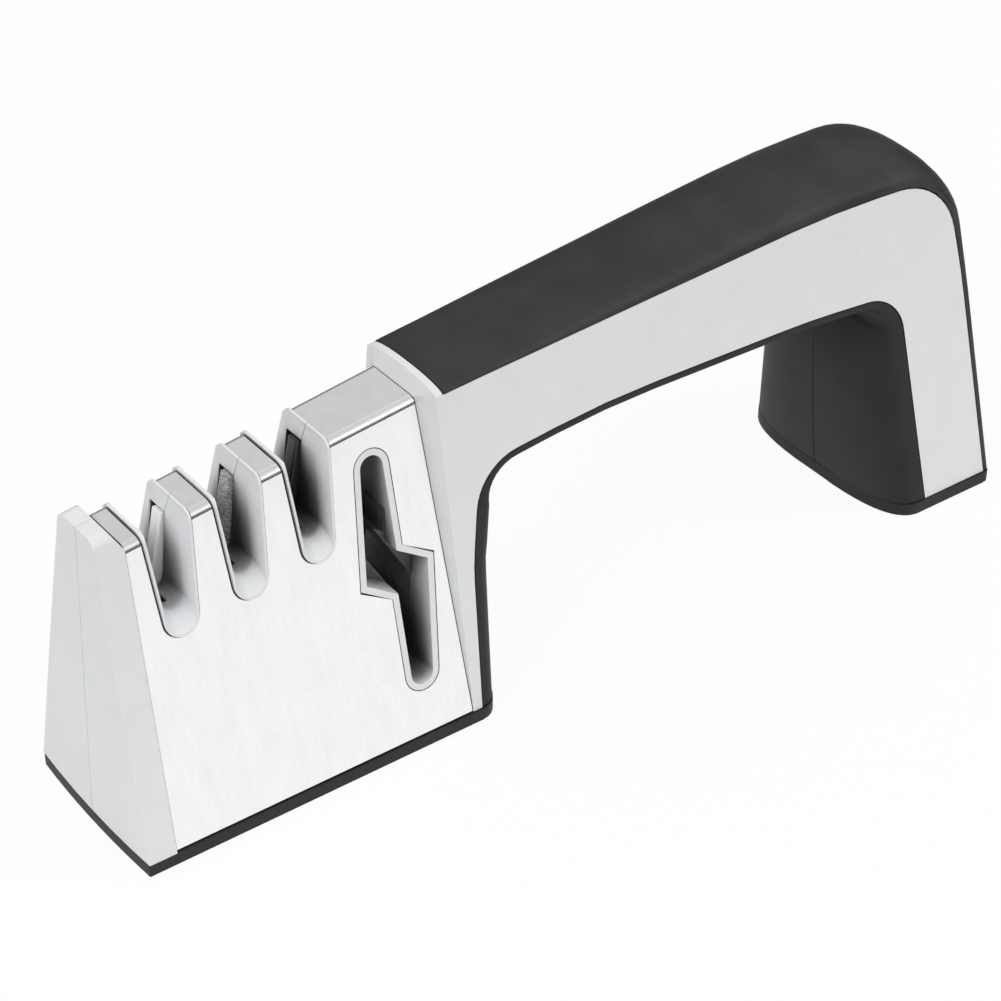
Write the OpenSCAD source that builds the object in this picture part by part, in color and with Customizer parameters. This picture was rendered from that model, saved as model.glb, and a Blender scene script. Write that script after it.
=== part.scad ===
// Pull-through sharpener for kitchen knives and scissors, free standing.
// X runs from the end cap to the leg, Z is up, and the two casings part at Y = 0.

/* [Overall] */
// Length from the end cap to the back of the leg
overall_l = 218; // [210:1:226]
// Height of the grip over the leg
overall_h = 85; // [83:0.5:88]
// Width of the base at the cap end
head_w = 39; // [38:0.5:42]
// Width of the base at the leg end
foot_w = 52; // [49:0.5:56]
// Play between pieces that fit together
fit_gap = 0.2; // [0.1:0.05:0.3]
// Gap between the rim of a knife slot and the steel round it
rim_gap = 0.35; // [0.2:0.05:0.45]
// Free width of a window beside its bar
window_gap = 1.5; // [1:0.1:1.7]
// Wall of the moulded casings
wall = 2.2; // [1.9:0.1:2.5]

/* [Head] */
// Distance from the end cap to the collar's crest at the base
head_l = 76.8; // [76.2:0.2:80]
// Height of the top of the steel at the cap end
head_h = 66.2; // [65:0.2:67]
// Rise of the head's top towards the handle, in degrees
head_rise = 5.5; // [5:0.25:6]
// Lean of each steel side, in degrees from upright
steel_lean = 11.7; // [11.2:0.1:12.2]
// Thickness of the steel cover
steel_t = 0.6; // [0.4:0.05:0.8]
// Outer radius of the bends along the top of the steel
bend_r = 2; // [1.4:0.1:2.4]
// Length of the end cap at the base
cap_l = 7.1; // [6.4:0.1:7.8]
// Lean of the joint between cap and steel, in degrees
cap_joint_lean = 2.1; // [1.5:0.1:2.6]
// Lean of the cap's end face, in degrees
cap_face_lean = 2.8; // [2:0.1:3.4]
// Radius of the bulge of the cap's end face
cap_bulge_r = 260; // [200:10:400]
// Rise of the cap's top over the steel
cap_rise = 4.1; // [3.6:0.1:4.6]
// Run of the slope behind the cap's top
cap_back = 2.6; // [2:0.1:3]
// How far cap and slot rims stand proud of the steel
rim_proud = 0.5; // [0.3:0.1:0.8]
// Distance from the steel's far edge to the collar's crest at the base
collar_l = 1.1; // [0.9:0.1:1.8]
// Lean of the steel's far edge, in degrees
collar_joint_lean = 2.05; // [1.8:0.05:2.3]
// Lean of the collar's crest, in degrees
collar_lean = 1.3; // [1:0.1:1.5]
// Length of the plain rim in front of the grip
collar_rim = 1.7; // [1.2:0.1:2.5]

/* [Knife slots] */
// Distance from the end cap to the floor of the first slot
slot_x = 17.3; // [17:0.1:17.6]
// Distance between the slots
slot_pitch = 15.15; // [15:0.05:15.2]
// Depth of a slot's outline below the top of the steel
slot_depth = 22.4; // [21.6:0.2:23]
// Radius of the round end of a slot's outline
slot_r = 4; // [3.8:0.1:4.1]
// Lean of the slots from upright, in degrees
slot_lean = 1.8; // [1:0.1:2.2]
// Flare of a slot's sides, in degrees
slot_flare = 4.6; // [4.2:0.1:5]
// Radius of the round floor of the channel
channel_r = 2.5; // [2.4:0.05:2.6]
// Rise of the channel's floor over the outline
lip = 4.2; // [3.8:0.1:4.6]
// Width of the flat rim round a slot's mouth
rim_w = 0.5; // [0.3:0.1:0.7]
// Depth of the rounded mouth of a channel
mouth_depth = 3.5; // [3:0.1:4]
// Wall of the channel in front of a bar holder
channel_wall = 1; // [0.8:0.1:1.1]

/* [Abrasives] */
// Thickness of each abrasive bar
bar_t = 2.4; // [2:0.1:2.5]
// Width of each abrasive bar across the head
bar_w = 3; // [2.6:0.1:3]
// Length of each abrasive bar
bar_l = 17.6; // [17:0.1:17.8]
// Lean of each abrasive bar, in degrees
bar_lean = 10; // [9:0.25:10.5]
// Height of the crossing over the channel's floor
cross_h = 0.4; // [0.2:0.1:0.6]
// Depth of the bars' ends below the top of the steel
bar_drop = 2.3; // [2.2:0.1:2.8]
// Width of a bar holder along the head
holder_w = 11.6; // [11.2:0.1:11.7]
// Wall of a bar holder at its ends
holder_wall = 0.8; // [0.6:0.1:0.9]
// Depth of a holder's top below the top of the steel
holder_drop = 2.5; // [2.4:0.1:2.8]
// Depth of a holder's foot below the slot's outline
holder_foot = 2; // [1.6:0.1:2.4]

/* [Scissors slot] */
// Distance from the end cap to the centre of the scissors slot
shear_x = 63.6; // [63.5:0.05:63.8]
// Height of the centre of the scissors slot
shear_z = 39.8; // [39.4:0.1:40.2]
// Height of the scissors slot
shear_h = 54.2; // [53:0.2:55]
// Radius of the slot's round ends
shear_r = 4.05; // [3.9:0.05:4.2]
// Distance of the upright edges from the slot's centre
shear_edge = 2.1; // [2:0.05:2.2]
// Height of the steps' inner corners from the centre
shear_drop = 5.15; // [4.8:0.05:5.4]
// Slope of the steps, in degrees
shear_step = 30.5; // [28:0.5:32]
// Lean of the slot's outer edges, in degrees
shear_lean = 6.4; // [6:0.1:6.6]
// Width of the moulded rim inside the steel
shear_rim = 1.3; // [1.1:0.1:1.5]
// Lean of the wedge faces that guide the blades, in degrees
guide_lean = 29; // [27:1:31]
// Slope of the underside of the wedges, in degrees
guide_under = 36.6; // [35:0.2:38]
// Distance of a wedge's tip from the centre along the head
guide_tip_x = 1.9; // [1.6:0.1:2]
// Distance of a wedge's tip from the centre in height
guide_tip_z = 8.4; // [8.2:0.1:8.8]
// Length of the scissors holder along the head
guide_l = 18; // [17.6:0.1:18.2]
// Height of the scissors holder
guide_h = 24; // [23:0.5:25]
// Width of the scissors holder across the head
guide_w = 17.6; // [17:0.1:18]
// Diameter of the stone rod
stone_d = 3.4; // [3:0.1:3.8]
// Length of the stone rod
stone_l = 21; // [20:0.2:21.6]
// Lean of the stone rod, in degrees
stone_lean = 4; // [2:1:6]

/* [Handle and leg] */
// Lean of the side panels, in degrees from upright
panel_lean = 8.4; // [8:0.1:8.8]
// Height of the panel's upper edge at the collar
panel_front_z = 74.4; // [73.6:0.2:75.4]
// Height of the grip's crown over the panel at the collar
crown_front = 1.7; // [1.4:0.1:2.2]
// Height of the grip's crown over the panel above the leg
crown_back = 5.6; // [5.2:0.1:6]
// Depth of the panel's shoulder below its highest edge
shoulder_drop = 1.5; // [1.2:0.1:1.8]
// Radius of the shoulder
shoulder_r = 16; // [14:0.5:17]
// Height of the slight bend down the back of the leg
knee_h = 55; // [50:1:60]
// Lean of the leg's back below that bend, in degrees
back_lean = 7; // [6:0.25:7.5]
// Lean of the leg's back above that bend, in degrees
knee_lean = 10.5; // [9:0.25:11.5]
// Height of the panel's lower edge over the arch
arch_h = 59; // [58:0.2:60]
// Radius of the panel's corner between head and arch
arch_r = 12; // [11:0.5:13]
// Fall of the panel's lower edge towards the leg
arch_drop = 1.1; // [0.9:0.1:1.3]
// Radius of the panel's corner between arch and leg
leg_r = 11; // [10:0.5:12]
// Width of the leg's panel
leg_w = 17.4; // [16.6:0.1:18.4]
// Depth of the liner below the panel over the arch
liner_arch = 2.6; // [2.4:0.1:3]
// Bulge of the liner beyond the panel at the head
liner_head = 7.6; // [7:0.1:8.2]
// Bulge of the liner beyond the panel at the leg
liner_leg = 8.7; // [8:0.1:9.4]
// Bulge of the liner beyond the panel at the foot
liner_foot = 10; // [9.4:0.1:10.6]
// Bulge of the grip behind the leg's panel
grip_heel = 2.8; // [2.5:0.1:3.2]
// Thickness of the grip and of the liners
skin_t = 2; // [1.7:0.1:2.2]

/* [Base] */
// Height of the pads under head and foot
pad_h = 3; // [2.6:0.1:3.4]
// How far the pads stand out from the base
pad_out = 0.3; // [0.1:0.1:0.5]
// Gap between the pad and the steel
shadow_gap = 0.4; // [0.3:0.05:0.6]
// Thickness of the plate that closes the head
plate_t = 2.6; // [2.4:0.1:3]
// Diameter of the screws' shanks
screw_d = 2.6; // [2.4:0.1:2.8]
// Diameter of the screws' heads
screw_head_d = 5; // [4.6:0.1:5.4]
// Height of the screws' heads
screw_head_h = 1.6; // [1.4:0.1:1.8]
// Length of the screws that join the casings
head_screw_l = 14; // [12:0.5:16]
// Length of the screws that hold the base plate
base_screw_l = 8; // [7:0.5:8.5]
// Diameter of the dowels between the casings
dowel_d = 4; // [3.6:0.2:4.4]
// Length of a dowel beyond the parting plane
dowel_l = 6; // [5:0.5:7]

/* [Hidden] */

grey = "#d5d7d9";
black = "#2b2b2d";
steel = "#dfdfde";
zinc = "#b4b7bb";
carbide = "#9a9da1";
diamond = "#8d8c88";
ceramic = "#3a3b3d";

over = 1;                       // overrun of every cut
least_r = 0.4;                  // smallest round of the head's form
boss_wall = 1.6;                // wall of the screw bosses and pockets
reach = overall_l + overall_h;  // more than the part's reach in any direction
hull_fn = 32;
round_fn = 48;
turn_step = 8;                  // turn of a round corner from one point to the next, in degrees
path_step = 9;                  // longest stretch between the points of a path
taper = atan((foot_w - head_w) / 2 / overall_l);
steel_slope = tan(steel_lean);
panel_slope = tan(panel_lean);
boss_r = screw_d / 2 + boss_wall;

// Half width of the base at x, half width of the panels and of the steel at height z, and the steel's top
function base_half(x) = head_w / 2 + x * tan(taper);
function panel_half(x, z) = base_half(x) - panel_slope * (z - pad_h);
function steel_half(x, z) = base_half(x) - steel_slope * (z - pad_h);
function steel_top(x) = head_h + x * tan(head_rise);

// Leaning joint lines of the head, as x at height z
function cap_line(z) = cap_l + (z - pad_h) * tan(cap_joint_lean);
function collar_line(z) = head_l - collar_l - (z - pad_h) * tan(collar_joint_lean);
function ridge_line(z) = head_l - (z - pad_h) * tan(collar_lean);

// The part is drawn from the end cap on, and its origin lies under the middle of its length.
module place() { translate([-overall_l / 2, 0, 0]) children(); }

// A flat outline in X and Z, carried along Y
module slab() { translate([0, reach, 0]) rotate([90, 0, 0]) linear_extrude(2 * reach) children(); }
module strip(x0, x1, z0, z1) { slab() polygon([[x0[0], z0], [x1[0], z0], [x1[1], z1], [x0[1], z1]]); }
module cross_rod(p, d, y0, y1) {
    translate([p[0], y1, p[1]]) rotate([90, 0, 0]) cylinder(d = d, h = y1 - y0, $fn = round_fn);
}
module half_space(side) {
    translate([-reach, side > 0 ? 0 : -reach, -reach]) cube([2 * reach, reach, 2 * reach]);
}
module above(z) { translate([-reach, -reach, z]) cube([2 * reach, 2 * reach, reach]); }

// All that lies inside the leaning, tapered side panel of one side
module inside_panel(side, inset) {
    mirror([0, side > 0 ? 1 : 0, 0]) translate([0, -head_w / 2, pad_h])
        rotate([0, 0, -taper]) rotate([-panel_lean, 0, 0])
            translate([-reach, inset, -reach]) cube([2 * reach, reach, 2 * reach]);
}

// The head's form under a folded sheet, grown outwards by grow on every side, its top raised by lift
module head_form(grow, lift = 0) {
    r = max(bend_r + grow, least_r);
    lean = norm([1, steel_slope, tan(taper)]);
    low = pad_h - over;
    hull() for (x = [-cap_l, head_l + cap_l], side = [-1, 1]) {
        zc = steel_top(x) + lift + (grow - r) / cos(head_rise);
        translate([x, side * (steel_half(x, zc) + (grow - r) * lean), zc]) sphere(r, $fn = hull_fn);
        translate([x, side * (steel_half(x, low) + grow * lean), low]) cube(least_r / hull_fn, center = true);
    }
}

// Outlines of handle and leg
// What a round corner takes of the stretches beside it
function corner_run(a, b, c, r) = r / tan(acos(max(-1, min(1, (a - b) * (c - b) / norm(a - b) / norm(c - b)))) / 2);
// A corner of an open path as an arc, and a path with all its corners round, as far as there is room
function corner(a, b, c, r) =
    let (u = (a - b) / norm(a - b), v = (c - b) / norm(c - b),
         half = acos(max(-1, min(1, u * v))) / 2, turn = 180 - 2 * half,
         centre = b + (u + v) / norm(u + v) * r / sin(half),
         start = b + u * r / tan(half) - centre,
         way = cross(b - a, c - b) > 0 ? 1 : -1,
         steps = max(2, round(turn / turn_step)))
    [for (i = [0 : steps]) let (t = way * turn * i / steps)
        centre + [start[0] * cos(t) - start[1] * sin(t), start[0] * sin(t) + start[1] * cos(t)]];
function round_path(pts, radii) =
    let (last = len(pts) - 1,
         runs = [for (i = [0 : last])
                    i == 0 || i == last ? 0 : corner_run(pts[i - 1], pts[i], pts[i + 1], radii[i - 1])],
         room = [for (i = [1 : last]) min(1, norm(pts[i] - pts[i - 1]) / (runs[i - 1] + runs[i]))])
    concat([pts[0]],
           [for (i = [1 : last - 1])
               each corner(pts[i - 1], pts[i], pts[i + 1], radii[i - 1] * min(room[i - 1], room[i]))],
           [pts[last]]);
// The same path with its long stretches cut into shorter ones
function fine_path(p) =
    concat([for (i = [0 : len(p) - 2])
               let (n = max(1, ceil(norm(p[i + 1] - p[i]) / path_step)))
               each [for (k = [0 : n - 1]) p[i] + (p[i + 1] - p[i]) * k / n]],
           [p[len(p) - 1]]);
// Directions to the left of a path, level where the path ends on a pad
function left_normals(p) =
    [for (i = [0 : len(p) - 1])
        let (d = p[min(i + 1, len(p) - 1)] - p[max(i - 1, 0)])
        p[i][1] > pad_h ? [-d[1], d[0]] / norm(d) : [-sign(d[1]), 0]];

heel_x = overall_l - grip_heel;
panel_back_z = overall_h - crown_back;
path_low = pad_h - 2 * over;
ridge_share = 0.8;    // place of the panel's highest edge along the part
ridge_lift = 0.1;     // rise of the edge's bend over its rounded form
function back_x(z) =
    heel_x - (min(z, knee_h) - pad_h) * tan(back_lean) - max(0, z - knee_h) * tan(knee_lean);
function inner_x(z) = heel_x - leg_w - (z - pad_h) * tan(back_lean);

// Upper edge of the side panels: over the handle and down the back of the leg
function upper_run(x, low) = [[x, panel_front_z],
                              [overall_l * ridge_share, panel_back_z + ridge_lift],
                              [back_x(panel_back_z - shoulder_drop), panel_back_z - shoulder_drop],
                              [back_x(knee_h), knee_h],
                              [back_x(low), low]];
upper_r = [overall_l, shoulder_r, overall_l];
function upper_path(x, low) = fine_path(round_path(upper_run(x, low), upper_r));

// Lower edge of the side panels: up beside the head, along the arch and down the leg
arch_x = head_l + collar_l;
rise_share = 0.6;     // height of the slight bend beside the head, of the arch
function lower_run(low) = [[arch_x - over * tan(back_lean), low],
                           [arch_x + liner_arch * rise_share, arch_h * rise_share],
                           [arch_x + 2 * liner_arch, arch_h - liner_arch],
                           [arch_x + 3 * arch_r, arch_h + fit_gap],
                           [inner_x(arch_h) - 2 * arch_r, arch_h - arch_drop],
                           [inner_x(arch_h - 3 * arch_drop), arch_h - 3 * arch_drop],
                           [inner_x(low), low]];
lower_r = [5 * arch_r, arch_r, overall_l, overall_l, leg_r];
function lower_path(low) = fine_path(round_path(lower_run(low), lower_r));

module panel_outline() {
    lower = lower_path(path_low);
    polygon(concat(upper_path(ridge_line(panel_front_z), path_low),
                   [for (i = [len(lower) - 1 : -1 : 0]) lower[i]],
                   [[ridge_line(path_low), path_low]]));
}

// Rings of points joined to a closed solid
module loft(rings) {
    n = len(rings);
    m = len(rings[0]);
    polyhedron(points = [for (r = rings) each r],
               faces = concat([[for (j = [m - 1 : -1 : 0]) j]], [[for (j = [0 : m - 1]) (n - 1) * m + j]],
                              [for (i = [0 : n - 2], j = [0 : m - 1])
                                  let (k = (j + 1) % m)
                                  each [[i * m + j, i * m + k, (i + 1) * m + k],
                                        [i * m + j, (i + 1) * m + k, (i + 1) * m + j]]]),
               convexity = 6);
}
// From a to b as t goes from 0 to 1, eased at both ends
function between(a, b, t) = let (u = max(0, min(1, t))) a + (b - a) * u * u * (3 - 2 * u);

// An arc across the part, over a point of the panel's edge, squarer with a larger power
function arch_arc(p, out, half, rise, power, a0, a1, n) =
    [for (i = [0 : n])
        let (a = a0 + (a1 - a0) * i / n,
             q = p + out * rise * pow(abs(sin(a)), 2 / power))
        [q[0], -half * sign(cos(a)) * pow(abs(cos(a)), 2 / power), q[1]]];
// A bowed skin over a point of the panel's edge
function skin(p, out, rise, power, a1, n) =
    let (half = panel_half(p[0], p[1]), foot = p + out * fit_gap)
    concat(arch_arc(foot, out, half, rise - fit_gap, power, 0, a1, n),
           arch_arc(foot, out, half - skin_t, max(rise - fit_gap - skin_t, fit_gap), power, a1, 0, n / 2));

hump_x = heel_x - 2 * shoulder_r;
crown_power = 2.1;
heel_power = 4.5;
arch_power = 7;
head_power = 2.4;
leg_power = 2.9;
function crown_rise(p) =
    p[0] < hump_x ? crown_front + (crown_back - crown_front)
                        * sin(90 * min(1, (p[0] - head_l) / (overall_l * ridge_share - head_l)))
                  : between(crown_back, grip_heel, (panel_back_z - p[1]) / (panel_back_z - knee_h));
function grip_power(p) =
    p[0] < hump_x ? crown_power : between(crown_power, heel_power, (panel_back_z - p[1]) / (panel_back_z - knee_h));
function fall_share(p) = (arch_h - p[1]) / (arch_h * (1 - rise_share));
function liner_rise(p) =
    let (t = fall_share(p))
    p[0] < overall_l / 2 ? between(liner_arch, liner_head, t)
                         : between(liner_arch, liner_leg, t) + between(0, liner_foot - liner_leg, t / 2);
function liner_power(p) = between(arch_power, p[0] < overall_l / 2 ? head_power : leg_power, fall_share(p));

// Knife slots, drawn in a frame that leans with the slot and has the outline's foot at its origin
module at_slot(i) {
    x = slot_x + i * slot_pitch;
    translate([x, 0, steel_top(x) - slot_depth]) rotate([0, slot_lean, 0]) children();
}
function slot_half(r, foot, z) = r / cos(slot_flare) + (z - foot - r) * tan(slot_flare);
function slot_points(r, foot, top) =
    let (half = slot_half(r, foot, top))
    concat([[half, top], [-half, top]],
           [for (k = [0 : 12])
               let (a = 180 + slot_flare + (180 - 2 * slot_flare) * k / 12)
               [r * cos(a), foot + r + r * sin(a)]]);
module slot_outline(r, foot) { polygon(slot_points(r, foot, overall_h)); }
// The rounded mouth of a channel, from the flat rim to just inside the channel's walls
mouth_shares = [-0.3, 0, 0.2, 0.4, 0.6, 0.8, 1.1];
mouth_turn = 75;
mouth_edge = rim_gap + rim_w;
function mouth_way(share) = sin(mouth_turn * max(share, 0)) / sin(mouth_turn);
function mouth_r(share) = slot_r - mouth_edge + (channel_r - slot_r + mouth_edge) * mouth_way(share);
function mouth_foot(share) = mouth_edge + (lip - mouth_edge) * mouth_way(share);
module slot_mouth(i, side) {
    x = slot_x + i * slot_pitch;
    mirror([0, side > 0 ? 1 : 0, 0])
        loft([for (share = mouth_shares)
            [for (p = slot_points(mouth_r(share), mouth_foot(share), slot_depth + 2 * over))
                [p[0], share * mouth_depth - rim_proud - steel_half(x + p[0], steel_top(x) - slot_depth + p[1]),
                 p[1]]]]);
}
// The same rounding along the top of a channel
module slot_crest() {
    right = [for (share = mouth_shares)
                let (z = slot_depth + rim_proud - share * mouth_depth)
                [slot_half(mouth_r(share), mouth_foot(share), z), z]];
    slab() polygon(concat(right, [for (i = [len(right) - 1 : -1 : 0]) [-right[i][0], right[i][1]]]));
}
holder_half = bar_w + fit_gap + holder_wall;
module holder_block(grow) {
    translate([-holder_w / 2 - grow, -holder_half - grow, -holder_foot - grow])
        cube([holder_w + 2 * grow, 2 * (holder_half + grow), slot_depth - holder_drop + holder_foot + 2 * grow]);
}
// A bar leans over the channel; its working edge passes through the crossing.
module bar(side, grow) {
    top = slot_depth - bar_drop;
    cross_z = lip + cross_h;
    up = (top - cross_z) / cos(bar_lean);
    x = side > 0 ? 0 : -bar_t;
    y = side > 0 ? fit_gap / 2 : -bar_w - fit_gap / 2;
    translate([0, 0, cross_z]) rotate([0, side * bar_lean, 0])
        translate([x - grow, y - grow, up - bar_l - grow])
            cube([bar_t + 2 * grow, bar_w + 2 * grow, bar_l + 2 * grow]);
}

// Stepped outline of the scissors slot, drawn in by d; it is the same when turned by half a turn.
function shear_half(d) =
    let (cx = shear_edge - shear_r, cz = shear_h / 2 - shear_r, r = shear_r - d,
         s = tan(shear_step), t = tan(shear_lean),
         k = cx - r / cos(shear_lean) - cz * t,
         z = (d / cos(shear_step) - shear_drop - (shear_edge + k) * s) / (1 + s * t))
    concat([[k + z * t, z]],
           [for (i = [0 : 12])
               let (a = (180 - shear_lean) * (1 - i / 12)) [cx + r * cos(a), cz + r * sin(a)]],
           [[shear_edge - d, shear_drop + d * s - d / cos(shear_step)]]);
module shear_outline(d) {
    translate([shear_x, shear_z]) polygon([for (turn = [1, -1], p = shear_half(d)) turn * p]);
}
module shear_block(grow) {
    translate([shear_x - guide_l / 2 - grow, -guide_w / 2 - grow, shear_z - guide_h / 2 - grow])
        cube([guide_l + 2 * grow, guide_w + 2 * grow, guide_h + 2 * grow]);
}
module guide_wedges() {
    run = guide_l / 2 + guide_tip_x;
    tip = [guide_tip_x, -guide_tip_z];
    translate([shear_x, shear_z]) for (turn = [0, 180]) rotate(turn)
        polygon([tip, tip + [-run, run / tan(guide_lean)], tip + [-run, run * tan(guide_under)]]);
}
module stone(grow) {
    translate([shear_x, 0, shear_z]) rotate([0, stone_lean, 0])
        cylinder(d = stone_d + 2 * grow, h = stone_l + 2 * grow, center = true, $fn = round_fn);
}

// Places of screws and dowels
head_screw_places = [for (k = [0.5, 1.5]) [slot_x + k * slot_pitch, head_h / 3]];
screw_seat = head_screw_l * 0.6;
boss_top = shear_z - shear_h / 2 - boss_wall;
base_screw_y = head_w / 2 - steel_t - wall - boss_r;
base_screw_x = [cap_l + 2 * boss_r, head_l - 2 * boss_r];
dowel_places = [[head_l + 2 * shoulder_r, (arch_h + panel_front_z) / 2],
                [heel_x - 3 * shoulder_r - leg_w, (arch_h + panel_back_z) / 2],
                [(inner_x(arch_h / 2) + back_x(arch_h / 2)) / 2, arch_h / 2]];
module base_places(z) {
    for (x = base_screw_x, side = [-1, 1]) translate([x, side * base_screw_y, z]) children();
}

// The outer form of cap, collar and panels
module cap_solid() {
    z = steel_top(cap_l);
    top = z + cap_rise + rim_proud;
    intersection() {
        head_form(rim_proud, cap_rise - rim_proud);
        slab() polygon([[-cap_l, pad_h], [cap_line(pad_h) - fit_gap, pad_h], [cap_line(z) - fit_gap, z],
                        [cap_line(z) - fit_gap - cap_back, top], [-cap_l, top]]);
        translate([0, 0, pad_h]) rotate([0, cap_face_lean, 0])
            translate([cap_bulge_r, 0, -over]) cylinder(r = cap_bulge_r, h = overall_h, $fn = 4 * round_fn);
    }
}
module rim_crown(long) {
    half = panel_half(ridge_line(panel_front_z), panel_front_z);
    translate([ridge_line(panel_front_z), 0, panel_front_z - over]) rotate([90, 0, 90]) linear_extrude(long)
        polygon(concat([[half, 0], [-half, 0]],
                       [for (k = [0 : 24]) let (a = 180 - 7.5 * k)
                           [half * sign(cos(a)) * pow(abs(cos(a)), 2 / crown_power),
                            over + crown_front * pow(sin(a), 2 / crown_power)]]));
}
module collar_solid() {
    hull() {
        intersection() {
            head_form(0);
            strip([collar_line(pad_h), collar_line(overall_h)],
                  [collar_line(pad_h) + fit_gap, collar_line(overall_h) + fit_gap], pad_h, overall_h);
        }
        intersection() {
            inside_panel(-1, 0);
            inside_panel(1, 0);
            strip([ridge_line(pad_h), ridge_line(panel_front_z)],
                  [ridge_line(pad_h) + fit_gap, ridge_line(panel_front_z) + fit_gap], pad_h, panel_front_z);
        }
        rim_crown(fit_gap);
    }
    rim_crown(collar_rim);
}
// What lies between the cap's joint and the collar's, moved by left and right
module core_strip(left, right) {
    strip([cap_line(pad_h) + left, cap_line(overall_h) + left],
          [collar_line(pad_h) + right, collar_line(overall_h) + right], pad_h, overall_h);
}

// The hollow of the head, open below, with walls kept round slots, pockets and screws
module head_hollow() {
    difference() {
        intersection() {
            head_form(-steel_t - fit_gap - wall);
            translate([0, 0, -over]) core_strip(wall - cap_l, -wall);
        }
        for (i = [0 : 2]) at_slot(i) {
            slab() slot_outline(channel_r + wall, lip - wall);
            holder_block(fit_gap + boss_wall);
        }
        slab() shear_outline(shear_rim - wall);
        shear_block(fit_gap + boss_wall);
        for (p = head_screw_places) cross_rod(p, 2 * boss_r, -reach, reach);
        base_places(pad_h + plate_t + fit_gap) cylinder(r = boss_r, h = boss_top - pad_h - plate_t, $fn = round_fn);
    }
}
module casing(side) {
    difference() {
        union() {
            intersection() { cap_solid(); half_space(side); }
            intersection() {
                head_form(-steel_t - fit_gap);
                core_strip(-over, over);
                half_space(side);
            }
            intersection() {
                union() { collar_solid(); slab() panel_outline(); }
                inside_panel(side, 0);
                half_space(side);
                above(pad_h);
            }
            intersection() {
                head_form(rim_proud);
                for (i = [0 : 2]) at_slot(i) slab() slot_outline(slot_r - rim_gap, rim_gap);
                half_space(side);
            }
            intersection() { head_form(0); slab() shear_outline(fit_gap); half_space(side); }
        }
        head_hollow();
        // hollow of handle and leg, with columns kept for the dowels
        intersection() {
            slab() offset(delta = -wall) panel_outline();
            inside_panel(side, wall);
            above(pad_h + wall);
            difference() {
                half_space(side);
                for (p = dowel_places) cross_rod(p, dowel_d + 2 * wall, -reach, reach);
            }
        }
        for (i = [0 : 2]) at_slot(i) {
            slab() slot_outline(channel_r, lip);
            difference() {
                holder_block(fit_gap);
                slab() slot_outline(channel_r + channel_wall, lip - channel_wall);
            }
            for (k = [-1, 1], shift = [0, window_gap]) translate([0, k * shift, 0]) bar(k, fit_gap);
            slot_mouth(i, side);
            slot_crest();
        }
        slab() shear_outline(fit_gap + shear_rim);
        shear_block(fit_gap);
        base_places(0) cylinder(d = screw_d + fit_gap, h = boss_top - boss_wall, $fn = round_fn);
    }
}
module front_shell() {
    place() color(grey) difference() {
        union() {
            casing(-1);
            for (p = dowel_places) cross_rod(p, dowel_d, -dowel_l, dowel_l);
        }
        for (p = head_screw_places) cross_rod(p, screw_d + fit_gap, screw_seat - head_screw_l - over, over);
    }
}
module rear_shell() {
    place() color(grey) difference() {
        casing(1);
        for (p = dowel_places) cross_rod(p, dowel_d + fit_gap, -over, dowel_l + fit_gap);
        for (p = head_screw_places) {
            cross_rod(p, screw_d + fit_gap, -over, reach);
            cross_rod(p, screw_head_d + fit_gap, screw_seat, reach);
        }
    }
}

module steel_cover() {
    place() color(steel) difference() {
        head_form(0);
        head_form(-steel_t);
        slab() difference() {
            translate([-reach, -reach]) square(2 * reach);
            polygon([[cap_line(pad_h), pad_h + shadow_gap], [collar_line(pad_h) - fit_gap, pad_h + shadow_gap],
                     [collar_line(overall_h) - fit_gap, overall_h], [cap_line(overall_h), overall_h]]);
        }
        for (i = [0 : 2]) at_slot(i) slab() slot_outline(slot_r, 0);
        slab() shear_outline(0);
    }
}

module top_grip() {
    p = upper_path(ridge_line(panel_front_z) + collar_rim + fit_gap, pad_h);
    out = left_normals(p);
    place() color(black)
        loft([for (i = [0 : len(p) - 1]) skin(p[i], out[i], crown_rise(p[i]), grip_power(p[i]), 180, 20)]);
}
// Half of the arch's lining, in front of or behind the parting plane
module liner(side) {
    p = lower_path(pad_h);
    out = left_normals(p);
    place() color(black) mirror([0, side > 0 ? 1 : 0, 0])
        loft([for (i = [len(p) - 1 : -1 : 0]) skin(p[i], -out[i], liner_rise(p[i]), liner_power(p[i]), 90, 10)]);
}
module front_liner() { liner(-1); }
module rear_liner() { liner(1); }

module base_plate() {
    place() color(zinc) difference() {
        intersection() {
            head_form(-steel_t - wall - 2 * fit_gap);
            core_strip(wall + fit_gap - cap_l, -wall - fit_gap);
            translate([-reach, -reach, pad_h]) cube([2 * reach, 2 * reach, plate_t]);
        }
        base_places(0) {
            cylinder(d = screw_d + fit_gap, h = pad_h + 2 * plate_t, $fn = round_fn);
            cylinder(d = screw_head_d + fit_gap, h = pad_h + screw_head_h, $fn = round_fn);
        }
    }
}

// Ends of the pads, bowed like the skin above them
function pad_end(x0, rise, power) =
    [for (k = [0 : 24])
        let (a = 7.5 * k, half = base_half(x0) + pad_out)
        [x0 + rise * pow(sin(a), 2 / power), -half * sign(cos(a)) * pow(abs(cos(a)), 2 / power)]];
module base_pad() {
    half = base_half(0) + pad_out;
    place() color(black) intersection() {
        linear_extrude(pad_h) polygon(concat([[0, half], [0, -half]], pad_end(arch_x, liner_head, head_power)));
        translate([cap_bulge_r, 0, 0]) cylinder(r = cap_bulge_r, h = pad_h, $fn = 4 * round_fn);
    }
}
module foot_pad() {
    inner = pad_end(inner_x(pad_h), -liner_foot, leg_power);
    place() color(black) linear_extrude(pad_h)
        polygon(concat(pad_end(heel_x, grip_heel, heel_power), [for (i = [len(inner) - 1 : -1 : 0]) inner[i]]));
}

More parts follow.
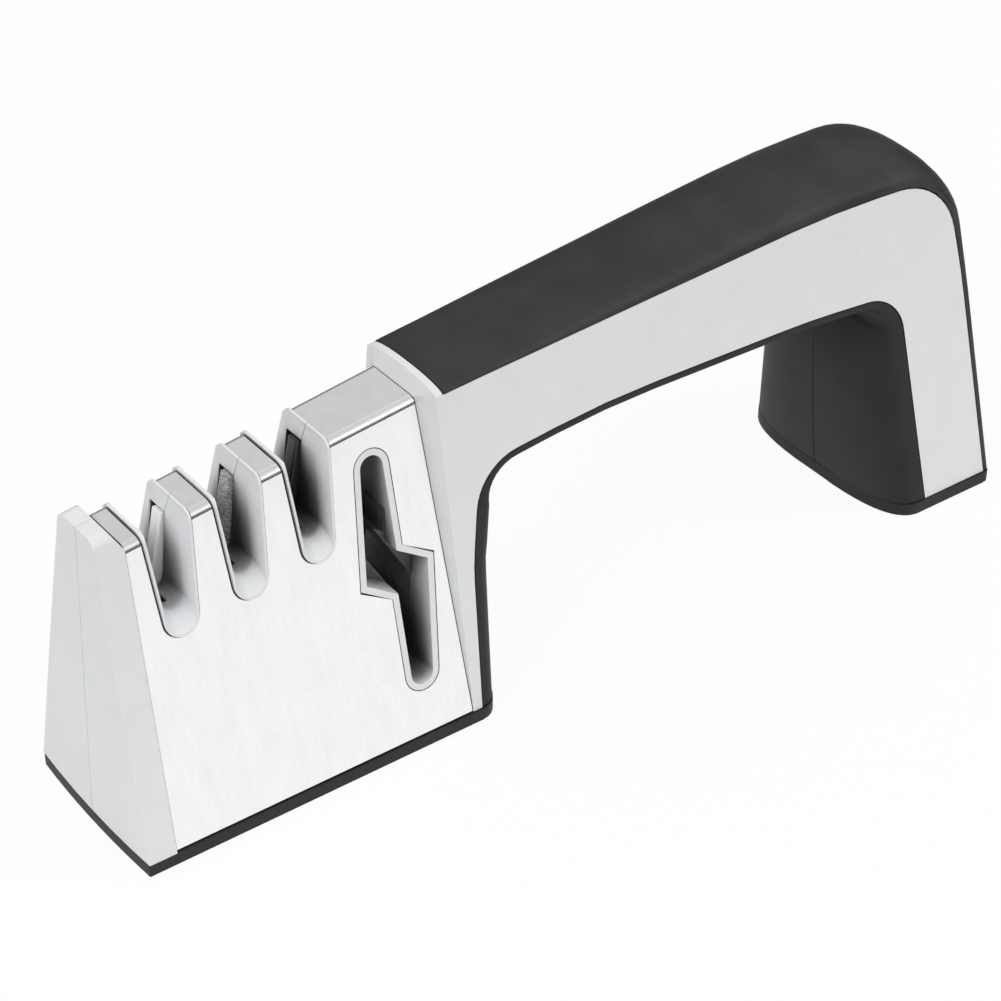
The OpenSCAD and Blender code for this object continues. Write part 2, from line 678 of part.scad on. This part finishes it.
// Abrasive inserts: a forked holder round the channel's wall, and two bars that cross in the channel
module holder(i) {
    place() at_slot(i) difference() {
        holder_block(0);
        slab() slot_outline(channel_r + channel_wall + fit_gap, lip - channel_wall - fit_gap);
        bar(-1, fit_gap / 2);
        bar(1, fit_gap / 2);
    }
}
module insert_bar(i, side) { place() at_slot(i) bar(side, 0); }
module coarse_holder() { color(grey) holder(0); }
module medium_holder() { color(grey) holder(1); }
module fine_holder() { color(grey) holder(2); }
module coarse_carbide_left() { color(carbide) insert_bar(0, -1); }
module coarse_carbide_right() { color(carbide) insert_bar(0, 1); }
module medium_diamond_left() { color(diamond) insert_bar(1, -1); }
module medium_diamond_right() { color(diamond) insert_bar(1, 1); }
module fine_ceramic_left() { color(ceramic) insert_bar(2, -1); }
module fine_ceramic_right() { color(ceramic) insert_bar(2, 1); }

// The stepped slot and its wedges part the scissors guide into a left and a right block.
module scissors_guide(side) {
    place() color(grey) difference() {
        shear_block(0);
        slab() {
            difference() { shear_outline(fit_gap + shear_rim); guide_wedges(); }
            translate([shear_x, shear_z]) rotate(guide_lean / 2)
                translate([side > 0 ? -reach : 0, -reach]) square([reach, 2 * reach]);
        }
        stone(fit_gap / 2);
    }
}
module scissors_guide_left() { scissors_guide(-1); }
module scissors_guide_right() { scissors_guide(1); }
module scissors_stone() { place() color(ceramic) stone(0); }

module screw(long) {
    cylinder(d = screw_head_d, h = screw_head_h, $fn = round_fn);
    cylinder(d = screw_d, h = long, $fn = round_fn);
}
module head_screws() {
    place() color(zinc) for (p = head_screw_places)
        translate([p[0], screw_seat + screw_head_h, p[1]]) rotate([90, 0, 0]) screw(head_screw_l);
}
module base_screws() { place() color(zinc) base_places(pad_h) screw(base_screw_l); }

front_shell();
rear_shell();
front_liner();
rear_liner();
top_grip();
steel_cover();
base_plate();
base_pad();
foot_pad();
coarse_holder();
coarse_carbide_left();
coarse_carbide_right();
medium_holder();
medium_diamond_left();
medium_diamond_right();
fine_holder();
fine_ceramic_left();
fine_ceramic_right();
scissors_guide_left();
scissors_guide_right();
scissors_stone();
head_screws();
base_screws();
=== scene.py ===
import math

import bpy
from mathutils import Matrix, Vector


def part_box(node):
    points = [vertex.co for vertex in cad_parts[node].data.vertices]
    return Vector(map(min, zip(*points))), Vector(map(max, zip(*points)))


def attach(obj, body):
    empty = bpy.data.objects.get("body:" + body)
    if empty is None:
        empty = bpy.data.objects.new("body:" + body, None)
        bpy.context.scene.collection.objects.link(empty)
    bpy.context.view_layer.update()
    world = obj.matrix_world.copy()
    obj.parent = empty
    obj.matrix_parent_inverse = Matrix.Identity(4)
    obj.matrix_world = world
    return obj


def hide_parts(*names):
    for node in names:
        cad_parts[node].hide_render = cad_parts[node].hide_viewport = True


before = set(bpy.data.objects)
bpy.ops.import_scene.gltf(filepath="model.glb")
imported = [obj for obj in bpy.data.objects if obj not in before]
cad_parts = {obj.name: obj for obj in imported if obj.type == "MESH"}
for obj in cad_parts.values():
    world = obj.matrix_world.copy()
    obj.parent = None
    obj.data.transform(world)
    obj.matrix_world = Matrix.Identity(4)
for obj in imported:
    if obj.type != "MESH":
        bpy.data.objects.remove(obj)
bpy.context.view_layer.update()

mm = 0.001
print("the frame is loaded:", len(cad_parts), "nodes")

bpy.context.scene.view_settings.view_transform = "Standard"

# Camera

cameraValues = {
    "lens": 100.117,
    "sensor": 36,
    "clip": 10 * mm,
    "azimuth": -37.189,
    "elevation": 37.284,
    "place": (-282.74 * mm, -359.45 * mm, 376.08 * mm),
}


def viewDirection(azimuth, elevation):
    turn, rise = math.radians(azimuth), math.radians(elevation)
    return Vector((math.sin(turn) * math.cos(rise), -math.cos(turn) * math.cos(rise), math.sin(rise)))


def setCamera():
    bpy.ops.object.camera_add(location=cameraValues["place"])
    camera = bpy.context.object
    camera.name = "photoCamera"
    back = viewDirection(cameraValues["azimuth"], cameraValues["elevation"])
    camera.rotation_euler = (-back).to_track_quat("-Z", "Y").to_euler()
    camera.data.lens = cameraValues["lens"]
    camera.data.sensor_width = cameraValues["sensor"]
    camera.data.clip_start = cameraValues["clip"]
    bpy.context.scene.camera = camera


setCamera()


# Node helpers

class Wire:
    def __init__(self, graph, socket):
        self.graph = graph
        self.socket = socket

    def combine(self, operation, *others):
        return self.graph.add("ShaderNodeMath", {"operation": operation}, [self, *others])

    def __add__(self, other):
        return self.combine("ADD", other)

    __radd__ = __add__

    def __mul__(self, other):
        return self.combine("MULTIPLY", other)

    def __sub__(self, other):
        return self.combine("SUBTRACT", other)

    def __rsub__(self, other):
        return self.graph.add("ShaderNodeMath", {"operation": "SUBTRACT"}, [other, self])

    def atMost(self, other):
        return self.combine("MINIMUM", other)

    def between(self, low, high):
        return self.graph.add("ShaderNodeMapRange", {"interpolation_type": "SMOOTHSTEP"},
                              {"Value": self, "From Min": low, "From Max": high})


class Graph:
    def __init__(self, owner, outputKind):
        owner.use_nodes = True
        self.owner = owner
        self.tree = owner.node_tree
        self.tree.nodes.clear()
        self.output = self.tree.nodes.new(outputKind)

    def add(self, kind, settings=None, inputs=(), result=0):
        node = self.tree.nodes.new(kind)
        for name, value in (settings or {}).items():
            if name == "stops":
                for element, (position, shade) in zip(node.color_ramp.elements, value):
                    element.position = position
                    element.color = (*shade, 1)
            else:
                setattr(node, name, value)
        pairs = inputs.items() if isinstance(inputs, dict) else enumerate(inputs)
        for key, value in pairs:
            if isinstance(value, Wire):
                self.tree.links.new(value.socket, node.inputs[key])
            else:
                node.inputs[key].default_value = value
        return Wire(self, node.outputs[result])

    def surface(self, shader):
        self.tree.links.new(shader.socket, self.output.inputs["Surface"])
        return self.owner


def newFinish(name):
    return Graph(bpy.data.materials.new(name), "ShaderNodeOutputMaterial")


# Lamps, surround and floor

lampValues = {
    "keyPower": 5.9,
    "keyPlace": (-0.95, -0.25, 1.0),
    "keySize": 0.8,
    "fillPower": 4.9,
    "fillPlace": (0.75, -0.8, 0.85),
    "fillSize": 0.7,
}
surroundValues = {
    "horizon": 0.10,
    "ring": (0.28, 0.50),
    "front": 1.05,
    "back": 0.80,
    "frontToBack": (0.40, 0.58),
    "zenith": 0.80,
    "zenithRing": (0.75, 0.98),
}
floorValues = {
    "size": 0.9,
    "colour": (0.93, 0.93, 0.93),
    "seenShare": 0.94,
}


def seenRay(graph):
    rays = [graph.add("ShaderNodeLightPath", None, (), name)
            for name in ("Is Camera Ray", "Is Glossy Ray", "Is Transmission Ray")]
    return (rays[0] + rays[1] + rays[2]).atMost(1.0)


def floorFinish():
    graph = newFinish("paleFloor")
    plain = graph.add("ShaderNodeBsdfDiffuse", None, {"Color": (*floorValues["colour"], 1)})
    white = graph.add("ShaderNodeEmission", None, {"Strength": 1.0})
    return graph.surface(graph.add("ShaderNodeMixShader", None,
                                   [seenRay(graph) * floorValues["seenShare"], plain, white]))


def setSurround():
    world = bpy.data.worlds.new("softSurround")
    bpy.context.scene.world = world
    graph = Graph(world, "ShaderNodeOutputWorld")
    way = graph.add("ShaderNodeTexCoord", None, (), "Generated")
    across, up = [graph.add("ShaderNodeSeparateXYZ", None, [way], axis) for axis in ("Y", "Z")]
    horizon, front, back = [surroundValues[name] for name in ("horizon", "front", "back")]
    sky = (1 - across.between(*surroundValues["frontToBack"])) * (front - back) + back
    lower = up.between(*surroundValues["ring"]) * (sky - horizon) + horizon
    level = up.between(*surroundValues["zenithRing"]) * (surroundValues["zenith"] - lower) + lower
    seen = graph.add("ShaderNodeLightPath", None, (), "Is Camera Ray")
    strength = seen * (1 - level) + level
    graph.surface(graph.add("ShaderNodeBackground", None, {"Strength": strength}))


def setStage():
    setSurround()
    for name in ("key", "fill"):
        spot = Vector(lampValues[name + "Place"])
        bpy.ops.object.light_add(type="AREA", location=spot)
        lamp = bpy.context.object
        lamp.name = name + "Lamp"
        lamp.rotation_euler = (-spot).to_track_quat("-Z", "Y").to_euler()
        lamp.data.energy = lampValues[name + "Power"]
        lamp.data.size = lampValues[name + "Size"]

    bpy.ops.mesh.primitive_plane_add(size=floorValues["size"])
    floor = bpy.context.object
    floor.name = "floor"
    floor.data.materials.append(floorFinish())


setStage()
print("camera, lamps and floor are set")

# Finishes


def place(graph):
    return graph.add("ShaderNodeTexCoord", None, (), "Object")


def placeAlong(graph, axis):
    return graph.add("ShaderNodeSeparateXYZ", None, [place(graph)], axis)


def noise(graph, vector, scale, detail=2.0, roughness=0.5):
    return graph.add("ShaderNodeTexNoise", None,
                     {"Vector": vector, "Scale": scale, "Detail": detail, "Roughness": roughness})


def shades(graph, factor, values):
    stops = zip(values["stops"], (values["dark"], values["light"]))
    return graph.add("ShaderNodeValToRGB", {"stops": stops}, [factor])


middleGrey = 0.5


def spread(factor, values):
    return values["roughness"] + (factor - middleGrey) * values["roughSpread"]


mixSockets = {"first": 6, "second": 7, "result": 2}


def blended(graph, factor, plainColour, wire):
    inputs = {"Factor": factor, mixSockets["first"]: (*plainColour, 1), mixSockets["second"]: wire}
    return graph.add("ShaderNodeMix", {"data_type": "RGBA"}, inputs, mixSockets["result"])


def openness(graph, distance):
    return graph.add("ShaderNodeAmbientOcclusion", {"only_local": False, "samples": 8},
                     {"Distance": distance}, "AO")


def bumped(graph, height, strength, distance):
    return graph.add("ShaderNodeBump", None, {"Strength": strength, "Distance": distance, "Height": height})


shaderInputs = {
    "colour": "Base Color",
    "roughness": "Roughness",
    "metal": "Metallic",
    "specular": "Specular IOR Level",
    "normal": "Normal",
}


def principled(graph, **values):
    inputs = {shaderInputs[key]: value for key, value in values.items()}
    return graph.add("ShaderNodeBsdfPrincipled", None, inputs)


casingValues = {
    "light": (0.80, 0.815, 0.83),
    "dark": (0.77, 0.785, 0.80),
    # near-black colour of painted shade: ambient occlusion blends the casing toward it in the slot channels
    # and recesses
    "paintedShadeColour": (0.03, 0.031, 0.032),
    "shaded": (0.08, 0.62),
    "roughness": 0.42,
    "roughSpread": 0.12,
    "mottle": 160.0,
    "stops": (0.3, 0.7),
    "grain": 5200.0,
    "grainStrength": 0.25,
    "grainDepth": 0.01 * mm,
    "shadeReach": 12 * mm,
    # painted shade along x: the casing's painted channel shade deepens from the first stage to the third
    "paleStage": -90 * mm,
    "darkStage": -62 * mm,
    "paintedStageShade": 0.17,
}


def casingFinish():
    graph = newFinish("greyCasing")
    cloud = noise(graph, place(graph), casingValues["mottle"], detail=4.0, roughness=0.6)
    grain = noise(graph, place(graph), casingValues["grain"], roughness=0.6)
    plain = shades(graph, cloud, casingValues)
    # Painted shade: the base colour darkens toward near-black where ambient occlusion finds the surface
    # closed in, and more toward the third stage
    paintedStageShade = placeAlong(graph, "X").between(casingValues["paleStage"], casingValues["darkStage"])
    freeness = openness(graph, casingValues["shadeReach"]) - paintedStageShade * casingValues["paintedStageShade"]
    return graph.surface(principled(
        graph,
        colour=blended(graph, freeness.between(*casingValues["shaded"]), casingValues["paintedShadeColour"], plain),
        roughness=spread(cloud, casingValues),
        normal=bumped(graph, grain, casingValues["grainStrength"], casingValues["grainDepth"])))


# dark grey of the holders and guides: partly the inserts' own tone, partly painted shade standing for the
# dark depth of the slots
guideValues = {
    "light": (0.12, 0.122, 0.125),
    "dark": (0.08, 0.081, 0.083),
    "stops": (0.3, 0.7),
    "mottle": 400.0,
    "roughness": 0.5,
    "grainStrength": 0.3,
}


def guideFinish():
    graph = newFinish("darkInsertPaintedShade")
    cloud = noise(graph, place(graph), guideValues["mottle"], detail=3.0)
    grain = noise(graph, place(graph), casingValues["grain"], roughness=0.6)
    return graph.surface(principled(
        graph, colour=shades(graph, cloud, guideValues), roughness=guideValues["roughness"],
        normal=bumped(graph, grain, guideValues["grainStrength"], casingValues["grainDepth"])))


rubberValues = {
    "dark": (0.012, 0.012, 0.0125),
    "light": (0.018, 0.018, 0.0185),
    # painted light: the grip is the same black rubber made 2.1 times lighter, standing for its lit top
    "gripShare": 2.1,
    "stops": (0.35, 0.7),
    "mottle": 90.0,
    "roughness": 0.56,
    "roughSpread": 0.2,
    "specular": 0.32,
    "grain": 3800.0,
    "grainStrength": 0.35,
    "grainDepth": 0.02 * mm,
}


def rubberFinish(name, share):
    graph = newFinish(name)
    cloud = noise(graph, place(graph), rubberValues["mottle"], detail=3.0)
    grain = noise(graph, place(graph), rubberValues["grain"], detail=3.0, roughness=0.7)
    tones = {tone: tuple(share * c for c in rubberValues[tone]) for tone in ("dark", "light")}
    return graph.surface(principled(
        graph, colour=shades(graph, cloud, rubberValues | tones),
        roughness=spread(grain, rubberValues), specular=rubberValues["specular"],
        normal=bumped(graph, grain, rubberValues["grainStrength"], rubberValues["grainDepth"])))


steelValues = {
    "light": (0.96, 0.96, 0.96),
    "dark": (0.8736, 0.8736, 0.8736),
    "stops": (0.3, 0.65),
    # near-black painted shade that the steel's colour blends toward at its folds and at the gaps around the
    # rims
    "paintedShadeColour": (0.05, 0.05, 0.05),
    "shaded": (0.3, 0.85),
    "shadeReach": 1.2 * mm,
    "roughness": 0.2,
    "roughSpread": 0.12,
    "brush": 2600.0,
    "broadShare": 0.4,
    "broadScale": 8,
    "brushTurn": math.radians(3),
    "brushLength": 0.012,
    "brushStrength": 0.06,
    "brushDepth": 0.01 * mm,
}


def steelFinish():
    graph = newFinish("brushedSteel")
    turned = graph.add("ShaderNodeMapping", None,
                       {"Vector": place(graph), "Rotation": (0, steelValues["brushTurn"], 0)})
    along = graph.add("ShaderNodeMapping", None,
                      {"Vector": turned, "Scale": (1, 1, steelValues["brushLength"])})
    lines = noise(graph, along, steelValues["brush"], detail=3.0, roughness=0.65)
    broad = noise(graph, along, steelValues["brush"] / steelValues["broadScale"])
    share = steelValues["broadShare"]
    plain = shades(graph, lines * (1 - share) + broad * share, steelValues)
    # Painted shade: ambient occlusion darkens the steel's colour at its folds and gaps
    freeness = openness(graph, steelValues["shadeReach"])
    return graph.surface(principled(
        graph,
        colour=blended(graph, freeness.between(*steelValues["shaded"]), steelValues["paintedShadeColour"], plain),
        metal=1.0, roughness=spread(lines, steelValues),
        normal=bumped(graph, lines, steelValues["brushStrength"], steelValues["brushDepth"])))


hardValues = {
    # the carbide bars are a near-white diffuse colour: their pale tone plus a painted reflection of the
    # white surround, in place of a metal's gloss
    "carbide": {
        "name": "paleCarbidePaintedReflection",
        "light": (0.97, 0.97, 0.97),
        "dark": (0.9312, 0.9312, 0.9312),
        "stops": (0.35, 0.65),
        "scale": 900.0,
        "roughness": 0.3,
        "roughSpread": 0.2,
        "metal": 0.0,
    },
    "zinc": {
        "name": "zincPlated",
        "light": (0.62, 0.64, 0.66),
        "dark": (0.558, 0.576, 0.594),
        "stops": (0.35, 0.65),
        "scale": 700.0,
        "roughness": 0.32,
        "roughSpread": 0.2,
        "metal": 1.0,
    },
}
gritValues = {
    "diamond": {
        "name": "diamondGrit",
        "light": (0.74, 0.74, 0.73),
        "dark": (0.06, 0.06, 0.06),
        "stops": (0.38, 0.62),
        "scale": 2600.0,
        "roughness": 0.45,
        "strength": 0.6,
        "depth": 0.04 * mm,
    },
    "ceramic": {
        "name": "darkCeramic",
        "light": (0.05, 0.052, 0.055),
        "dark": (0.020, 0.021, 0.022),
        "stops": (0.38, 0.62),
        "scale": 2600.0,
        "roughness": 0.4,
        "strength": 0.6,
        "depth": 0.04 * mm,
    },
}


def hardFinish(values):
    graph = newFinish(values["name"])
    grain = noise(graph, place(graph), values["scale"], detail=3.0)
    return graph.surface(principled(graph, colour=shades(graph, grain, values), metal=values["metal"],
                                    roughness=spread(grain, values)))


def gritFinish(values):
    graph = newFinish(values["name"])
    grain = noise(graph, place(graph), values["scale"], detail=4.0, roughness=0.8)
    return graph.surface(principled(
        graph, colour=shades(graph, grain, values), roughness=values["roughness"],
        normal=bumped(graph, grain, values["strength"], values["depth"])))


finishes = {
    "casing": casingFinish(),
    "guide": guideFinish(),
    "rubber": rubberFinish("softBlack", 1),
    # the grip's lighter copy of the black rubber is painted light
    "grip": rubberFinish("softGripPaintedLight", rubberValues["gripShare"]),
    "steel": steelFinish(),
    "carbide": hardFinish(hardValues["carbide"]),
    "zinc": hardFinish(hardValues["zinc"]),
    "diamond": gritFinish(gritValues["diamond"]),
    "ceramic": gritFinish(gritValues["ceramic"]),
}
print("finishes are made:", len(finishes))

# Modelling helpers

smoothAngle = math.radians(30)
facing = 0.9


def pickOnly(piece):
    bpy.ops.object.select_all(action="DESELECT")
    piece.select_set(True)
    bpy.context.view_layer.objects.active = piece


def applyModifier(piece, kind, **settings):
    modifier = piece.modifiers.new(kind.lower(), kind)
    for name, value in settings.items():
        setattr(modifier, name, value)
    pickOnly(piece)
    bpy.ops.object.modifier_apply(modifier=modifier.name)


mergeValues = {
    "reach": 0.002 * mm,
    "flat": math.radians(0.5),
}


def mergedCopy(nodeName, pieceName):
    piece = bpy.data.objects.new(pieceName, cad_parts[nodeName].data.copy())
    bpy.context.collection.objects.link(piece)
    pickOnly(piece)
    bpy.ops.mesh.customdata_custom_splitnormals_clear()
    bpy.ops.object.mode_set(mode="EDIT")
    bpy.ops.mesh.select_mode(type="VERT")
    bpy.ops.mesh.select_all(action="SELECT")
    bpy.ops.mesh.remove_doubles(threshold=mergeValues["reach"])
    bpy.ops.mesh.dissolve_limited(angle_limit=mergeValues["flat"])
    bpy.ops.object.mode_set(mode="OBJECT")
    return piece


def roundEdges(piece, width, segments=2, angle=30, clamped=True):
    applyModifier(piece, "BEVEL", width=width, segments=segments, limit_method="ANGLE",
                  angle_limit=math.radians(angle), use_clamp_overlap=clamped,
                  offset_type="OFFSET" if clamped else "ABSOLUTE")


def smoothShade(piece):
    pickOnly(piece)
    bpy.ops.object.shade_smooth_by_angle(angle=smoothAngle)
    applyModifier(piece, "WEIGHTED_NORMAL", keep_sharp=True)


def finishPiece(piece, finish, node):
    piece.data.materials.clear()
    piece.data.materials.append(finishes[finish])
    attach(piece, "root")
    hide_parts(node)


def selectParts(piece, mode, wanted, sharp=None):
    pickOnly(piece)
    bpy.ops.object.mode_set(mode="EDIT")
    bpy.ops.mesh.select_mode(type=mode)
    bpy.ops.mesh.select_all(action="DESELECT")
    if sharp:
        bpy.ops.mesh.edges_select_sharp(sharpness=math.radians(sharp))
    bpy.ops.object.mode_set(mode="OBJECT")
    points = piece.data.vertices
    if mode == "EDGE":
        for edge in piece.data.edges:
            ends = [points[index].co for index in edge.vertices]
            edge.select = (edge.select or not sharp) and wanted(*ends)
    else:
        for face in piece.data.polygons:
            face.select = wanted(face)
    bpy.ops.object.mode_set(mode="EDIT")


def settle(piece):
    bpy.ops.object.mode_set(mode="OBJECT")
    pickOnly(piece)
    bpy.ops.object.transform_apply(location=True, rotation=True, scale=True)


# Pieces shaped from their CAD nodes; "edge" is the rounding in mm

copyValues = {
    "casingFront": {"node": "front_shell", "finish": "casing", "slot": "casing", "edge": 0.25},
    "casingRear": {"node": "rear_shell", "finish": "casing", "slot": "casing", "edge": 0.25},
    "steelCover": {"node": "steel_cover", "finish": "steel", "slot": "cover", "edge": 0.12},
    "gripTop": {"node": "top_grip", "finish": "grip", "slot": "soft_grip", "edge": 0.4},
    "liningFront": {"node": "front_liner", "finish": "rubber", "slot": "soft_lining", "edge": 0.3},
    "liningRear": {"node": "rear_liner", "finish": "rubber", "slot": "soft_lining", "edge": 0.3},
    "padHead": {"node": "base_pad", "finish": "rubber", "slot": "pad", "edge": 0.2},
    "padFoot": {"node": "foot_pad", "finish": "rubber", "slot": "pad", "edge": 0.2},
    "holderCoarse": {"node": "coarse_holder", "finish": "guide", "slot": "insert", "edge": 0.15},
    "holderMedium": {"node": "medium_holder", "finish": "guide", "slot": "insert", "edge": 0.15},
    "holderFine": {"node": "fine_holder", "finish": "guide", "slot": "insert", "edge": 0.15},
    "guideLeft": {"node": "scissors_guide_left", "finish": "guide", "slot": "insert", "edge": 0.2},
    "guideRight": {"node": "scissors_guide_right", "finish": "guide", "slot": "insert", "edge": 0.2},
    "stoneRod": {"node": "scissors_stone", "finish": "ceramic", "slot": "ceramic", "edge": 0.3},
    "plateUnder": {"node": "base_plate", "finish": "zinc", "slot": "plate", "edge": 0.25},
}
partingValues = {
    "capX": -105 * mm,  # the groove runs down the end cap and over the top of the head
    "endX": -45 * mm,
    "topZ": 64 * mm,
    "width": 0.2 * mm,
    "steps": 2,
    "sharp": 30,
    "reach": 0.01 * mm,
}


def partingEdge(a, b):
    outside = all(p.z > partingValues["topZ"] or p.x < partingValues["capX"] for p in (a, b))
    onPlane = max(abs(a.y), abs(b.y)) < partingValues["reach"]
    return outside and onPlane and max(a.x, b.x) < partingValues["endX"]


for pieceName, values in copyValues.items():
    piece = mergedCopy(values["node"], pieceName)
    moulded = values["slot"] == "casing"
    if moulded:
        selectParts(piece, "EDGE", partingEdge, partingValues["sharp"])
        bpy.ops.mesh.bevel(offset=partingValues["width"], segments=partingValues["steps"],
                           clamp_overlap=False)
        bpy.ops.object.mode_set(mode="OBJECT")
    roundEdges(piece, values["edge"] * mm, clamped=moulded or values["slot"] == "cover")
    smoothShade(piece)
    finishPiece(piece, values["finish"], values["node"])
    print(pieceName, "is done:", len(piece.data.polygons), "faces")

# Abrasive bars

barValues = {
    "thickness": 2.4 * mm,
    "length": 17.6 * mm,
    "near": 0.25 * mm,
    "slotLean": 1.8,
    "barLean": 10.0,
    "edge": 0.12 * mm,
    "edgeAngle": 25,
    "land": 0.4 * mm,
    "coat": 0.1 * mm,
    "coatRim": 0.15 * mm,
    "round": 0.5 * mm,
    "roundSteps": 5,
}


def makeBar(pieceName, node, side, kind):
    low, high = [Vector(corner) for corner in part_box(node)]
    thick, wide, long = barValues["thickness"], high.y - low.y, barValues["length"]
    lean = math.radians(barValues["slotLean"] + side * barValues["barLean"])
    bpy.ops.object.select_all(action="DESELECT")
    bpy.ops.mesh.primitive_cube_add(size=1, location=(low + high) / 2, rotation=(0, lean, 0))
    piece = bpy.context.object
    piece.name = pieceName
    piece.scale = (thick, wide, long)
    bpy.ops.object.transform_apply(location=False, rotation=False, scale=True)
    inner = -side * thick / 2

    # The working face looks into the channel
    if kind == "diamond":
        selectParts(piece, "FACE", lambda face: face.normal.x * side < -facing)
        bpy.ops.transform.translate(value=(side * barValues["coat"] * math.cos(lean), 0,
                                           -side * barValues["coat"] * math.sin(lean)))
        bpy.ops.mesh.inset(thickness=barValues["coatRim"])
        bpy.ops.mesh.extrude_region_shrink_fatten(TRANSFORM_OT_shrink_fatten={"value": barValues["coat"]})
    elif kind == "carbide":
        selectParts(piece, "EDGE", lambda a, b: abs(a.z - b.z) > long / 2
                    and max(abs(a.x - inner), abs(b.x - inner)) < barValues["near"])
        bpy.ops.mesh.bevel(offset=barValues["land"], segments=1)
    else:
        selectParts(piece, "EDGE", lambda a, b: abs(a.z - b.z) > long / 2)
        bpy.ops.mesh.bevel(offset=barValues["round"], segments=barValues["roundSteps"])
    settle(piece)
    roundEdges(piece, barValues["edge"], angle=barValues["edgeAngle"])
    smoothShade(piece)
    finishPiece(piece, kind, node)


barKinds = {"coarse": "carbide", "medium": "diamond", "fine": "ceramic"}
for stage, kind in barKinds.items():
    for sideName, side in (("left", -1), ("right", 1)):
        makeBar(stage + "Bar" + sideName.title(), f"{stage}_{kind}_{sideName}", side, kind)
print("bars are done")

# Screws

screwValues = {
    "boxRadius": 2.5 * mm,
    "headRadius": 2.45 * mm,
    "headHeight": 1.55 * mm,
    "shankRadius": 1.25 * mm,
    "rootShare": 0.78,
    "pitch": 1.0 * mm,
    "tip": 1.8 * mm,
    "tipShare": 0.15,
    "socketShare": 0.5,
    "socketDepth": 0.8 * mm,
    "socketTaper": 0.9,
    "sides": 24,
    "edge": 0.1 * mm,
    "edgeAngle": 60,
}


def grow(share, rise):
    bpy.ops.mesh.extrude_region_move(TRANSFORM_OT_translate={"value": (0, 0, rise)})
    bpy.ops.transform.resize(value=(share, share, 1))


def makeScrew(pieceName, length):
    values = screwValues
    bpy.ops.object.select_all(action="DESELECT")
    headRadius, headHeight, halfPitch = values["headRadius"], values["headHeight"], values["pitch"] / 2
    bpy.ops.mesh.primitive_cylinder_add(vertices=values["sides"], radius=headRadius, depth=headHeight,
                                        location=(0, 0, -headHeight / 2))
    piece = bpy.context.object
    piece.name = pieceName
    settle(piece)

    selectParts(piece, "FACE", lambda face: face.normal.z > facing)
    bpy.ops.mesh.inset(thickness=headRadius * (1 - values["socketShare"]))
    grow(values["socketTaper"], -values["socketDepth"])
    bpy.ops.object.mode_set(mode="OBJECT")
    selectParts(piece, "FACE", lambda face: face.normal.z < -facing)
    bpy.ops.mesh.inset(thickness=headRadius - values["shankRadius"])
    grow(1, -halfPitch)

    thread = length - headHeight - halfPitch - values["tip"]
    for _ in range(int(thread / values["pitch"])):
        grow(values["rootShare"], -halfPitch)
        grow(1 / values["rootShare"], -halfPitch)
    grow(values["tipShare"], -values["tip"])
    settle(piece)
    roundEdges(piece, values["edge"], 1, values["edgeAngle"])
    return piece


def setScrews(node, kind, length, spots, tilt):
    first = makeScrew(kind + "Screw", length)
    for index, spot in enumerate(spots):
        piece = first.copy()
        piece.data = first.data.copy()
        piece.name = f"{kind}Screw{index + 1}"
        bpy.context.collection.objects.link(piece)
        piece.location = spot
        piece.rotation_euler = (tilt, 0, 0)
        settle(piece)
        smoothShade(piece)
        finishPiece(piece, "zinc", node)
    bpy.data.objects.remove(first)


headLow, headHigh = [Vector(corner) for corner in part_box("head_screws")]
headMiddle = (headLow.z + headHigh.z) / 2
inset = screwValues["boxRadius"]
headSpots = [(x, headHigh.y, headMiddle) for x in (headLow.x + inset, headHigh.x - inset)]
setScrews("head_screws", "head", headHigh.y - headLow.y, headSpots, -math.pi / 2)

baseLow, baseHigh = [Vector(corner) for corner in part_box("base_screws")]
baseSpots = [(x, y, baseLow.z) for x in (baseLow.x + inset, baseHigh.x - inset)
             for y in (baseLow.y + inset, baseHigh.y - inset)]
setScrews("base_screws", "base", baseHigh.z - baseLow.z, baseSpots, math.pi)
print("screws are done")
